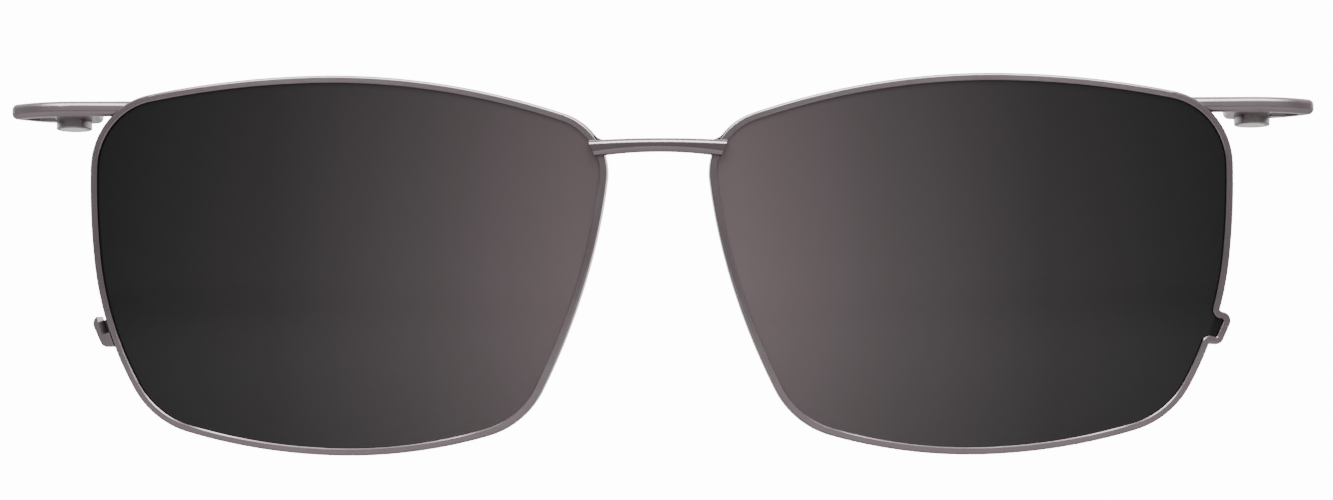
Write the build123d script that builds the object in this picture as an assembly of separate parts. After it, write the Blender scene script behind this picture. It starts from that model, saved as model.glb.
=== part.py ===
from build123d import *
import os
from math import cos, radians, sin, sqrt

# A magnetic clip-on front for eyeglasses: two glazed metal rims, a bridge, and two arms that
# carry magnets. Lengths are millimetres and angles are degrees. X runs to the wearer's left,
# Y towards the wearer and Z up. Left and right are the wearer's. The left half is modelled and
# the right half is its mirror image, except at the lower outer lugs.

# Outline of a rim, seen square on
rim_across = 57.5
rim_tall = 41.4
upper_temple_radius = 8.2
upper_nose_radius = 7.0
lower_nose_radius = 9.8
lower_temple_radius = 10.2

# The four corners before they are rounded, as shares of the half width and half height:
# upper temple, upper nose, lower nose, lower temple
corner_shares = [(0.996, 0.850), (-1.013, 0.706), (-0.685, -0.838), (0.750, -0.820)]

# Each side is two arcs that meet at a crown: top, nose side, bottom, temple side
crown_shares = [(0.103, 1.005), (-0.933, -0.026), (0.001, -1.004), (0.987, 0.041)]
crown_angles = [179.4, -74.4, 0.7, 83.6]

# Section of a rim
rim_width = 0.8
rim_proud = 0.35
rim_edge_round = 0.28
rim_inner_bevel = 0.12

# Lens
lens_curve = 130.0
lens_thickness = 1.1
bevel_height = 0.4
glazing_clearance = 0.04

# How the two rims stand to each other
rims_apart = 11.6
wrap_angle = 6.0

# Lower outer lugs, their height as a share of a rim's half height. A tab of the left lens
# stands in the left one, which the rim goes round.
lug_height_share = -0.335
lug_lean = 17.0
tab_reach = 1.6
tab_tall = 2.1
tab_taper = 0.27
tab_root_round = 0.2
tab_foot_round = 0.1
tab_corner_round = 0.15
lug_deep = 3.0
lug_wall = 0.66
lug_floor = 0.7
lug_floor_drop = 0.5
lug_pocket_below = 0.3

# Bridge, measured from the top of the rims and from their nose sides
bridge_drop = 6.95
bridge_tall = 1.5
bridge_deep = 2.0
bridge_top_rise = 0.2
bridge_bottom_rise = 0.5
bridge_forward = 0.8
bridge_run_on = 1.0
bridge_lap = 0.35
bridge_edge_round = 0.6
solder_run = 1.2
solder_top_rise = 1.1
solder_bottom_rise = 0.9
solder_inset = 0.75

# Arms, seen from above. Each one starts behind its rim and ends past the rim's temple side, in
# a slotted paddle with a rounded nose.
arm_overhang = 9.32
arm_run_in = 4.4
arm_lap = 2.5
arm_drop = 2.32
arm_thick = 1.65
arm_deep = 6.9
arm_slope = 6.0
arm_setback = 0.45
bar_deep = 1.6
paddle_length = 10.2
paddle_corner_round = 1.0
bar_corner_round = 0.5
nose_round = 1.0
arm_edge_round = 0.6
slot_wall = 1.25
slot_corner_round = 0.4

# Where things lie on a paddle, as shares of its length in from the tip or of its depth back
# from the front edge. The land is the bar of metal between the two slots.
nose_back_share = 0.39
nose_front_share = 0.725
nose_rear_share = 0.824
slot_back_share = 0.61
land_outer_share = 0.52
land_inner_share = 0.735
small_slot_inner_share = 0.892
small_slot_back_share = 0.42
cup_in_share = 0.695
cup_back_share = 0.71

# Magnet and its cup
magnet_radius = 1.5
magnet_thick = 0.75
magnet_clearance = 0.03
cup_wall = 0.45
cup_floor = 0.15
cup_edge_round = 0.12
stud_radius = 0.65
stud_clearance = 0.03

# Worked out from the sizes above
halfway_share = 0.5
hung = (Align.CENTER, Align.CENTER, Align.MAX)
stood = (Align.CENTER, Align.CENTER, Align.MIN)
wrap = radians(wrap_angle)
corner_radii = [upper_temple_radius, upper_nose_radius, lower_nose_radius, lower_temple_radius]
rim_back = lens_thickness + rim_proud
reach = rim_across / 2
eye_offset = reach + rims_apart / 2
cup_radius = magnet_radius + magnet_clearance + cup_wall
cup_tall = magnet_thick + cup_floor
eye_place = Plane(
    origin=(eye_offset, 0, 0), x_dir=(cos(wrap), sin(wrap), 0), z_dir=(sin(wrap), -cos(wrap), 0)
)


def rim_front_y(x, z):
    """How far back the front of the left rim lies at a place seen from the front."""
    centre_x = eye_offset - lens_curve * sin(wrap)
    centre_y = lens_curve * cos(wrap)
    radius = lens_curve + rim_proud
    return centre_y - sqrt(radius**2 - (x - centre_x) ** 2 - z**2)


def outward(edge, share, middle):
    """The direction straight out of an outline, at a share along one of its edges."""
    across = (edge % share).cross(Axis.Z.direction)
    return across if across.dot(edge @ share - middle) > 0 else -across


def grown(face, amount):
    """A flat face whose outline is arcs that flow into one another, grown all round or shrunk."""
    middle, shares = face.center(), (0, halfway_share, 1)
    arcs = []
    for edge in face.outer_wire().edges():
        points = [edge @ share + amount * outward(edge, share, middle) for share in shares]
        arcs.append(ThreePointArc(*points))
    return Face(Wire(arcs))


def rounded(face, point, radius):
    """A flat face with the corner nearest to a point rounded."""
    corner = face.vertices().sort_by_distance(point)[0]
    return face.fillet_2d(radius, [corner])


# Outlines, flat, with X to the temple and Y up
def rim_outline():
    """The outside of a rim."""
    corners = [Vector(u * rim_across / 2, v * rim_tall / 2) for u, v in corner_shares]
    crowns = [Vector(u * rim_across / 2, v * rim_tall / 2) for u, v in crown_shares]
    arcs = []
    for side, crown in enumerate(crowns):
        heading = Vector(1, 0).rotate(Axis.Z, crown_angles[side])
        arcs.append(TangentArc(crown, corners[side], tangent=-heading))
        arcs.append(TangentArc(crown, corners[(side + 1) % len(corners)], tangent=heading))
    face = Face(Wire(arcs))
    for corner, radius in zip(corners, corner_radii):
        face = rounded(face, corner, radius)
    return face


def lug_frame(outline):
    """The place of a lug on a rim's outside, X outward and Y up along the rim."""
    height = lug_height_share * rim_tall / 2
    level = Edge.make_line((0, height), (rim_across, height))
    crossing = (level & outline).vertices().sort_by(Axis.X)[-1]
    return Location((crossing.X, crossing.Y, 0), (0, 0, -lug_lean))


def with_tab(face, grow):
    """An outline of the left lens, grown from its opening, with the tab as much larger."""
    frame = lug_frame(outline)
    top, out = tab_tall / 2, tab_reach - rim_width
    corners = [(-reach / 2, top), (out, top), (out - tab_taper, -top), (-reach / 2, -top)]
    tab = Face(Wire.make_polygon(corners, close=True))
    if grow:
        tab = offset(tab, grow, kind=Kind.INTERSECTION)
    face = (face + frame * tab).faces()[0]
    edge = grow - rim_width
    for x, y, radius in (
        (edge, top + grow, tab_root_round - edge),
        (edge, -top - grow, tab_foot_round - edge),
        (out + grow, top + grow, tab_corner_round + grow),
        (out - tab_taper + grow, -top - grow, tab_corner_round + grow),
    ):
        face = rounded(face, (frame * Pos(x, y)).position, radius)
    return face


def left_shape(grow):
    """The left opening, grown all round."""
    return with_tab(right_shape(grow), grow)


def right_shape(grow):
    """The right opening, grown all round."""
    return grown(outline, grow - rim_width)


# Curved forms, in the frame of one lens: X to the temple, Y up and Z forward
def ball(radius):
    """A ball about the lens's centre of curvature, its poles above and below."""
    return Pos(0, 0, -lens_curve) * Rot(90, 0, 0) * Sphere(radius)


def curved_slab(face, front, back):
    """A flat face made solid from in front of the lens's front surface to behind it."""
    block = extrude(face, amount=reach, both=True)
    return block & ball(lens_curve + front) - ball(lens_curve - back)


def bevelled_lens(shape, spare=0):
    """The lens with its bevel, or with spare the seat that it fits."""
    slab = curved_slab(shape(bevel_height + spare), spare, lens_thickness + spare)
    edges = slab.faces().filter_by(GeomType.SPHERE).edges()
    return chamfer(edges, bevel_height)


def rim(shape):
    """A rim: a curved band with soft outer edges, a bevel inside its front and a groove."""
    band = curved_slab(shape(rim_width), rim_proud, rim_back)
    band = fillet(band.faces().filter_by(GeomType.SPHERE).edges(), rim_edge_round)
    band -= extrude(shape(0), amount=reach, both=True)
    front = band.faces().filter_by(GeomType.SPHERE).sort_by(Axis.Z)[-1]
    band = chamfer(front.inner_wires()[0].edges(), rim_inner_bevel)
    return band - bevelled_lens(shape, glazing_clearance)


def rim_room():
    """All that lies behind the front of a rim, within its outside, which no other piece enters."""
    return curved_slab(outline, rim_proud, reach)


# Lugs, in the frame of one lens
def lug_ground():
    """A lug seen from the front: what the tab, with the rim's width round it, adds to a rim."""
    return (left_shape(rim_width) - outline).faces().sort_by(SortBy.AREA)[-1]


def left_lug():
    """A block behind the part of the rim that goes round the lens tab."""
    return curved_slab(lug_ground(), -rim_back, lug_deep - rim_proud)


def right_lug():
    """A claw beside the plain rim, with a pocket between its outer wall and the rim."""
    top = tab_tall / 2 + rim_width
    inside, outside = -rim_width, tab_reach - lug_wall
    pocket = box_face(inside, -lug_pocket_below, outside, reach)
    gap = box_face(inside, top - lug_floor_drop, outside, reach)
    frame = lug_frame(outline)
    claw = curved_slab(lug_ground(), rim_proud, lug_deep - rim_proud)
    claw -= curved_slab(frame * pocket, reach, lug_deep - rim_proud - lug_floor)
    return claw - curved_slab(frame * gap, reach, reach)


# Bridge, in the frame of the whole clip before it is centred
def bridge_front_view():
    """The plain bar seen from the front, X across and Y up."""
    top, low = bridge_height - bridge_top_rise, bridge_foot - bridge_bottom_rise
    top_half, low_half = nose_side(top) + bridge_run_on, nose_side(low) + bridge_run_on
    over = ThreePointArc((-top_half, top), (0, bridge_height), (top_half, top))
    under = ThreePointArc((-low_half, low), (0, bridge_foot), (low_half, low))
    ends = [Line(over @ end, under @ end) for end in (0, 1)]
    return Face(Wire([over, ends[1], under, ends[0]]))


def nose_side(height):
    """How far from the middle the outside of the left rim stands, at a height."""
    level = Edge.make_line((-rim_across, height), (0, height))
    crossing = (level & outline).vertices().sort_by(Axis.X)[0]
    nearer = reach * (1 - cos(wrap)) - sin(wrap) * reach**2 / (2 * lens_curve)
    return eye_offset + nearer + crossing.X


def solder_front_view(level, rise):
    """A fillet between the bar and the left rim, seen from the front. It starts inside the bar."""
    start, end = nose_side(level) - solder_run, nose_side(level) + rim_width
    arc = TangentArc((start, level), (end, level + rise), tangent=(1, 0))
    foot = level - rise
    lines = [
        Line((end, level + rise), (end, foot)),
        Line((end, foot), (start, foot)),
        Line((start, foot), (start, level)),
    ]
    return Face(Wire([arc, *lines]))


def bowed_block(face, front, inset):
    """A front view made solid between two arcs that bow forward, inset from the bar's faces."""
    halves = []
    for y in (front + inset, front + bridge_deep - inset):
        halves.append(
            ThreePointArc((-bridge_half, y), (0, y - bridge_forward), (bridge_half, y))
        )
    ends = [Line(halves[0] @ end, halves[1] @ end) for end in (0, 1)]
    plan = extrude(Face(Wire([halves[0], ends[1], halves[1], ends[0]])), amount=reach)
    return plan & Rot(90, 0, 0) * extrude(face, amount=reach, both=True)


def bridge():
    """A bar that bows forward and laps onto the front of both rims."""
    bar = bridge_front_view()
    block = bowed_block(bar, bridge_front, 0)
    long_edges = [edge for edge in block.edges() if edge.length > bridge_half]
    block = fillet(long_edges, bridge_edge_round)
    room = eye_place.location * rim_room()
    levels = {
        bridge_height - bridge_top_rise: solder_top_rise,
        bridge_foot: -solder_bottom_rise,
    }
    for level, rise in levels.items():
        solder = bowed_block(solder_front_view(level, rise), bridge_front, solder_inset)
        block += solder + mirror(solder, about=Plane.YZ)
    return block - room - mirror(room, about=Plane.YZ)


# Arm, in its own frame: X outward from its tip, Y back from its front edge and Z up from its top
def box_face(left, low, right, high):
    """A flat rectangle between two corners."""
    return Face(Wire.make_rect(right - left, high - low)).moved(
        Location(((left + right) / 2, (low + high) / 2, 0))
    )


def on_paddle(in_share, back_share):
    """A place on the paddle, by its share of the length and of the depth."""
    return (-in_share * paddle_length, back_share * arm_deep)


def paddle_outline():
    """The arm seen from above: the front bar, the paddle and its rounded nose."""
    root = -arm_overhang - arm_run_in - arm_lap
    nose = on_paddle(0, nose_back_share)
    front_turn, rear_turn = on_paddle(nose_front_share, 0), on_paddle(nose_rear_share, 1)
    corner, step = on_paddle(1, 1), (-paddle_length, bar_deep)
    edges = [
        Line((root, 0), front_turn),
        TangentArc(front_turn, nose, tangent=(1, 0)),
        TangentArc(rear_turn, nose, tangent=(1, 0)),
        Line(rear_turn, corner),
        Line(corner, step),
        Line(step, (root, bar_deep)),
        Line((root, bar_deep), (root, 0)),
    ]
    face = Face(Wire(edges))
    face = rounded(face, nose, nose_round)
    face = rounded(face, corner, paddle_corner_round)
    return rounded(face, step, bar_corner_round)


def nose_slot(paddle):
    """The large slot, which follows the nose at one wall's distance."""
    inner, back = on_paddle(land_outer_share, slot_back_share)
    window = box_face(inner, bar_deep, 0, back)
    slot = (offset(paddle, -slot_wall) & window).faces()[0]
    return slot.fillet_2d(slot_corner_round, slot.vertices())


def small_slot():
    """The small slot, inside the land."""
    inner, back = on_paddle(small_slot_inner_share, small_slot_back_share)
    slot = box_face(inner, bar_deep, -land_inner_share * paddle_length, back)
    return slot.fillet_2d(slot_corner_round, slot.vertices())


def arm():
    """A flat arm with rounded edges, two slots and a hole for the cup's stud."""
    paddle = paddle_outline()
    plate = extrude(paddle, amount=-arm_thick)
    flats = plate.faces().filter_by(Axis.Z)
    plate = fillet(flats.edges(), arm_edge_round)
    for slot in (nose_slot(paddle), small_slot()):
        plate -= extrude(slot, amount=-arm_thick)
    hole = Cylinder(stud_radius + stud_clearance, arm_thick, align=hung)
    plate -= Pos(*on_paddle(cup_in_share, cup_back_share), 0) * hole
    return arm_place * plate - eye_place.location * extrude(outline, amount=reach, both=True)


# Magnet and cup, in a frame with its origin where the cup meets the arm and Z up
def magnet_cup():
    """A round can, open below, with a stud that fills the hole in the arm."""
    can = Cylinder(cup_radius, cup_tall, align=hung)
    can = fillet(can.edges().sort_by(Axis.Z)[0], cup_edge_round)
    room = Cylinder(magnet_radius + magnet_clearance, magnet_thick, align=hung)
    stud = Cylinder(stud_radius, arm_thick, align=stood)
    return can - Pos(0, 0, -cup_floor) * room + stud


def magnet():
    """The disc in the cup, flush with its lip."""
    return Pos(0, 0, -cup_floor) * Cylinder(magnet_radius, magnet_thick, align=hung)


outline = rim_outline()
temple_side = eye_offset + reach * cos(wrap)
bridge_height = rim_tall / 2 - bridge_drop
bridge_foot = bridge_height - bridge_tall
bridge_half = nose_side(bridge_height) + bridge_run_on
bridge_front = rim_front_y(bridge_half, bridge_height - bridge_tall / 2) - bridge_lap
arm_height = rim_tall / 2 - arm_drop
arm_front = rim_front_y(temple_side - arm_run_in, arm_height) + arm_setback
arm_place = Location((temple_side + arm_overhang, arm_front, arm_height), (-arm_slope, 0, 0))
cup_place = arm_place * Pos(*on_paddle(cup_in_share, cup_back_share), -arm_thick)
foremost = bridge_front - bridge_forward
rearmost = arm_front + arm_deep * cos(radians(arm_slope))
centring = Pos(0, -(foremost + rearmost) / 2, 0)


def pieces():
    """Every piece by name, in its place."""
    eye = eye_place.location
    yield "bridge", bridge()
    left_only = {
        "left_rim": eye * rim(left_shape),
        "left_lens": eye * bevelled_lens(left_shape),
        "left_lug": eye * left_lug(),
    }
    yield from left_only.items()
    right_only = {
        "right_rim": eye * rim(right_shape),
        "right_lens": eye * bevelled_lens(right_shape),
        "right_lug": eye * right_lug(),
    }
    for name, piece in right_only.items():
        yield name, mirror(piece, about=Plane.YZ)
    both = {"arm": arm(), "magnet_cup": cup_place * magnet_cup(), "magnet": cup_place * magnet()}
    for name, piece in both.items():
        yield f"left_{name}", piece
        yield f"right_{name}", mirror(piece, about=Plane.YZ)


os.makedirs("parts", exist_ok=True)
for name, piece in pieces():
    export_step(centring * piece, f"parts/{name}.step")
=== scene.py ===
import bpy
from math import cos, radians, sin
from mathutils import Matrix, Vector


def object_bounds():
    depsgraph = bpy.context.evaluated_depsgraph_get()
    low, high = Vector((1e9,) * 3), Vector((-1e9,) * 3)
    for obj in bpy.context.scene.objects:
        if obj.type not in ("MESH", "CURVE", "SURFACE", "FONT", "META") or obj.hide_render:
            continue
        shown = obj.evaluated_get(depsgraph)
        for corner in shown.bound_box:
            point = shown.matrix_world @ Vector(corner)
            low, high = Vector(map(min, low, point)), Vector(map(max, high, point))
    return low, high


# The look of a magnetic clip-on front: satin gunmetal with smoke lenses, before a white
# backdrop. Lengths are metres, in the frame of the part: X to the wearer's left, Y towards the
# wearer and Z up.

MM = 0.001

# Camera, as the photograph has it: a long lens nearly square in front
camera_azimuth = radians(1.8)
camera_elevation = radians(-0.8)
camera_roll = radians(-0.147)
camera_distance = 0.55
camera_aim = Vector((0.713 * MM, 0, 1.669 * MM))
camera_near, camera_far = 0.01, 20
sensor_width = 36.0
focal_length = 135.05

# Surroundings, by how far a direction points back: from -1, straight ahead of the part, to 1
white = (1.0, 1.0, 1.0, 1.0)
backdrop_strength = 14
strength_ahead, strength_behind = 0.4, 2.2
change_start, change_end = -0.5, 1

# Softbox above the front
softbox_place, softbox_aim = Vector((0, -0.4, 0.573)), Vector((0, 0, 0))
softbox_width, softbox_height = 1.0, 0.46
softbox_power = 14.5

# Floor
floor_below = 0.055
floor_side = 2.0
floor_front = -4.0
floor_back = 1.0
floor_fade_start, floor_fade_end = 0.1, 0.95
floor_dark, floor_light = 0.25, 0.27
floor_roughness = 0.9
floor_scale, floor_detail = 3, 2

# Where a noise reaches a material's dark and its light tone
noise_dark, noise_light = 0.3, 0.7

# Metals: a dark and a light tone, and the smoothest and the roughest finish
rim_tones = (0.255, 0.212, 0.224), (0.285, 0.239, 0.252)
rim_roughness = 0.2, 0.29
bridge_roughness = 0.14, 0.22
arm_tones = (0.262, 0.22, 0.231), (0.297, 0.251, 0.263)
arm_roughness = 0.25, 0.35
cup_tones = (0.27, 0.245, 0.25), (0.31, 0.285, 0.29)
cup_roughness = 0.26, 0.36
nickel_tones = (0.55, 0.53, 0.5), (0.62, 0.6, 0.57)
nickel_roughness = 0.14, 0.22

# What the metals share: a slow drift in tone and a fine grain
drift_scale, drift_detail = 260, 3
grain_scale, grain_detail = 9000, 4
grain_strength, grain_depth = 0.12, 0.01 * MM

# Lenses: a smoke colour from the nose to the temple, painted lighter and warmer towards the nose
# as a painted reflection, times a shade from the bottom to the top
lens_nose, lens_temple = 6 * MM, 62 * MM
lens_bottom, lens_top = -20 * MM, 20 * MM
# Smoke colour with a painted reflection: lighter and warmer near the nose, darkest at the temple
lens_tint_with_reflection = [
    (0.05, (0.102, 0.081, 0.085)),
    (0.35, (0.056, 0.048, 0.050)),
    (0.65, (0.0265, 0.024, 0.0245)),
    (1.0, (0.0115, 0.0115, 0.0115)),
]
lens_shade = [(0, 0.8), (0.42, 1), (1, 0.72)]
lens_roughness = 0.03, 0.05
haze_scale, haze_detail = 400, 2
lens_ior = 1.3
lens_transmission = 0.6

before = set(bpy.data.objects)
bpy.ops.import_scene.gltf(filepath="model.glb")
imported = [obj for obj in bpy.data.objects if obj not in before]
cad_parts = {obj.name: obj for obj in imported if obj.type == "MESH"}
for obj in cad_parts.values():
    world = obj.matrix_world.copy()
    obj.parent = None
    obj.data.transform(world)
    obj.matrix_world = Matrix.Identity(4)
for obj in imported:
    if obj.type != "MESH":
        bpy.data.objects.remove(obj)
cad_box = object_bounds()


def add_object(name, data):
    """A new object in the scene."""
    thing = bpy.data.objects.new(name, data)
    bpy.context.collection.objects.link(thing)
    return thing


def set_camera():
    """A camera at the photograph's angle and distance."""
    data = bpy.data.cameras.new("camera")
    data.sensor_width = sensor_width
    data.lens = focal_length
    data.clip_start, data.clip_end = camera_near, camera_far
    camera = add_object("camera", data)
    stand = Vector((
        sin(camera_azimuth) * cos(camera_elevation),
        -cos(camera_azimuth) * cos(camera_elevation),
        sin(camera_elevation),
    )) * camera_distance
    look = (camera_aim - stand).to_track_quat("-Z", "Y").to_matrix().to_4x4()
    camera.matrix_world = Matrix.Translation(stand) @ look @ Matrix.Rotation(camera_roll, 4, "Z")
    bpy.context.scene.camera = camera


def set_softbox():
    """A soft rectangular light that points at the part."""
    data = bpy.data.lights.new("top_softbox", "AREA")
    data.shape = "RECTANGLE"
    data.size, data.size_y = softbox_width, softbox_height
    data.energy = softbox_power
    light = add_object("top_softbox", data)
    light.location = softbox_place
    light.rotation_euler = (softbox_aim - softbox_place).to_track_quat("-Z", "Y").to_euler()


# Shader helpers
def new_material(name):
    """An empty node material and its Principled shader."""
    material = bpy.data.materials.new(name)
    material.use_nodes = True
    tree = material.node_tree
    tree.nodes.clear()
    shader = tree.nodes.new("ShaderNodeBsdfPrincipled")
    output = tree.nodes.new("ShaderNodeOutputMaterial")
    tree.links.new(shader.outputs["BSDF"], output.inputs["Surface"])
    return material, tree, shader


def axes(tree, space="Object"):
    """The X, Y and Z of a point or direction."""
    place = tree.nodes.new("ShaderNodeTexCoord")
    node = tree.nodes.new("ShaderNodeSeparateXYZ")
    tree.links.new(place.outputs[space], node.inputs["Vector"])
    return node.outputs


def noise(tree, scale, detail):
    """A noise in object space, with its scale per metre."""
    place = tree.nodes.new("ShaderNodeTexCoord")
    node = tree.nodes.new("ShaderNodeTexNoise")
    node.inputs["Scale"].default_value = scale
    node.inputs["Detail"].default_value = detail
    tree.links.new(place.outputs["Object"], node.inputs["Vector"])
    return node.outputs["Fac"]


def mapped(tree, value, start, end, low=0, high=1, course="LINEAR"):
    """A value's course from start to end, moved to the range from low to high."""
    node = tree.nodes.new("ShaderNodeMapRange")
    node.interpolation_type = course
    limits = {"From Min": start, "From Max": end, "To Min": low, "To Max": high}
    for name, limit in limits.items():
        node.inputs[name].default_value = limit
    tree.links.new(value, node.inputs["Value"])
    return node.outputs["Result"]


def ramp(tree, factor, stops):
    """A colour ramp through (place, colour) stops."""
    node = tree.nodes.new("ShaderNodeValToRGB")
    band = node.color_ramp
    while len(band.elements) < len(stops):
        band.elements.new(0.5)
    for element, (place, colour) in zip(band.elements, stops):
        element.position = place
        element.color = (*colour, 1)
    tree.links.new(factor, node.inputs["Fac"])
    return node.outputs["Color"]


def mottled(tree, factor, dark, light):
    """A colour that follows a noise from a dark tone to a light one."""
    return ramp(tree, factor, [(noise_dark, dark), (noise_light, light)])


def grey(value):
    """A colour without hue."""
    return (value, value, value)


def multiplied(tree, first, second):
    """The product of two colours."""
    node = tree.nodes.new("ShaderNodeMix")
    node.data_type = "RGBA"
    node.blend_type = "MULTIPLY"
    node.inputs["Factor"].default_value = 1
    tree.links.new(first, node.inputs["A"])
    tree.links.new(second, node.inputs["B"])
    return node.outputs["Result"]


def bump(tree, height, strength, distance):
    """A bump from a height, its distance in metres."""
    node = tree.nodes.new("ShaderNodeBump")
    node.inputs["Strength"].default_value = strength
    node.inputs["Distance"].default_value = distance
    tree.links.new(height, node.inputs["Height"])
    return node.outputs["Normal"]


def blended(tree, factor, first, second):
    """A mix of two shaders: the first where the factor is 0, and the second where it is 1."""
    node = tree.nodes.new("ShaderNodeMixShader")
    tree.links.new(factor, node.inputs["Fac"])
    tree.links.new(first, node.inputs[1])
    tree.links.new(second, node.inputs[2])
    return node.outputs["Shader"]


def set_world():
    """Surroundings that are grey ahead of the part and white behind it. The camera sees white."""
    world = bpy.data.worlds.new("studio")
    bpy.context.scene.world = world
    world.use_nodes = True
    tree = world.node_tree
    tree.nodes.clear()
    seen, around = [tree.nodes.new("ShaderNodeBackground") for _ in range(2)]
    for background in (seen, around):
        background.inputs["Color"].default_value = white
    seen.inputs["Strength"].default_value = backdrop_strength
    strength = mapped(tree, axes(tree, "Generated")["Y"], change_start, change_end,
                      strength_ahead, strength_behind, "SMOOTHSTEP")
    tree.links.new(strength, around.inputs["Strength"])
    path = tree.nodes.new("ShaderNodeLightPath")
    light = blended(tree, path.outputs["Is Camera Ray"], around.outputs["Background"],
                    seen.outputs["Background"])
    output = tree.nodes.new("ShaderNodeOutputWorld")
    tree.links.new(light, output.inputs["Surface"])


def set_floor():
    """A plain pale floor below the part, which fades into the white far behind it."""
    mesh = bpy.data.meshes.new("floor")
    level = cad_box[0][2] - floor_below
    corners = [
        (-floor_side, floor_front, level), (floor_side, floor_front, level),
        (floor_side, floor_back, level), (-floor_side, floor_back, level),
    ]
    mesh.from_pydata(corners, [], [(0, 1, 2, 3)])
    plane = add_object("floor", mesh)
    material, tree, shader = new_material("floor_pale")
    tones = noise(tree, floor_scale, floor_detail)
    tree.links.new(mottled(tree, tones, grey(floor_dark), grey(floor_light)),
                   shader.inputs["Base Color"])
    shader.inputs["Roughness"].default_value = floor_roughness
    gone = mapped(tree, axes(tree)["Y"], floor_fade_start, floor_fade_end, course="SMOOTHSTEP")
    clear = tree.nodes.new("ShaderNodeBsdfTransparent")
    faded = blended(tree, gone, shader.outputs["BSDF"], clear.outputs["BSDF"])
    tree.links.new(faded, tree.get_output_node("ALL").inputs["Surface"])
    mesh.materials.append(material)


def plated_metal(name, tones, roughness):
    """Satin plated metal with a fine bead-blasted grain and a slow drift in tone."""
    material, tree, shader = new_material(name)
    drift = noise(tree, drift_scale, drift_detail)
    grain = noise(tree, grain_scale, grain_detail)
    tree.links.new(mottled(tree, drift, *tones), shader.inputs["Base Color"])
    tree.links.new(mapped(tree, grain, 0, 1, *roughness), shader.inputs["Roughness"])
    tree.links.new(bump(tree, grain, grain_strength, grain_depth), shader.inputs["Normal"])
    shader.inputs["Metallic"].default_value = 1
    return material


def smoke_lens(name, side, painted_lightness):
    """A smoke-tinted lens, painted lighter and warmer towards the nose as a painted reflection,
    and darker above and below.

    Side is 1 for the wearer's left and -1 for the right. The lightness argument paints the whole
    lens lighter: painted light, which makes one copy of the same lens lighter than the other.
    """
    material, tree, shader = new_material(name)
    place = axes(tree)
    outward = mapped(tree, place["X"], side * lens_nose, side * lens_temple)
    upward = mapped(tree, place["Z"], lens_bottom, lens_top)
    # Painted reflection: the smoke colour is painted lighter and warmer towards the nose
    tint_with_reflection = ramp(tree, outward, [
        (at, [part * painted_lightness for part in colour]) for at, colour in lens_tint_with_reflection
    ])
    shade = ramp(tree, upward, [(at, grey(value)) for at, value in lens_shade])
    haze = noise(tree, haze_scale, haze_detail)
    tree.links.new(multiplied(tree, tint_with_reflection, shade), shader.inputs["Base Color"])
    tree.links.new(mapped(tree, haze, 0, 1, *lens_roughness), shader.inputs["Roughness"])
    shader.inputs["IOR"].default_value = lens_ior
    shader.inputs["Transmission Weight"].default_value = lens_transmission
    return material


def give(material, *nodes):
    """Puts one material on CAD nodes."""
    for name in nodes:
        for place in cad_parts[name].material_slots:
            place.material = material


set_camera()
set_world()
set_floor()
set_softbox()

give(plated_metal("rim_gunmetal", rim_tones, rim_roughness), "left_rim", "right_rim")
give(plated_metal("bridge_gunmetal", rim_tones, bridge_roughness), "bridge")
give(plated_metal("arm_gunmetal", arm_tones, arm_roughness),
     "left_arm", "right_arm", "left_lug", "right_lug")
give(plated_metal("cup_gunmetal", cup_tones, cup_roughness),
     "left_magnet_cup", "right_magnet_cup")
give(plated_metal("nickel", nickel_tones, nickel_roughness), "left_magnet", "right_magnet")
# The wearer's left lens is painted 14 percent lighter than the right one: painted light on a copy
# of the same smoke lens
give(smoke_lens("smoke_left", side=1, painted_lightness=1.14), "left_lens")
give(smoke_lens("smoke_right", side=-1, painted_lightness=1), "right_lens")
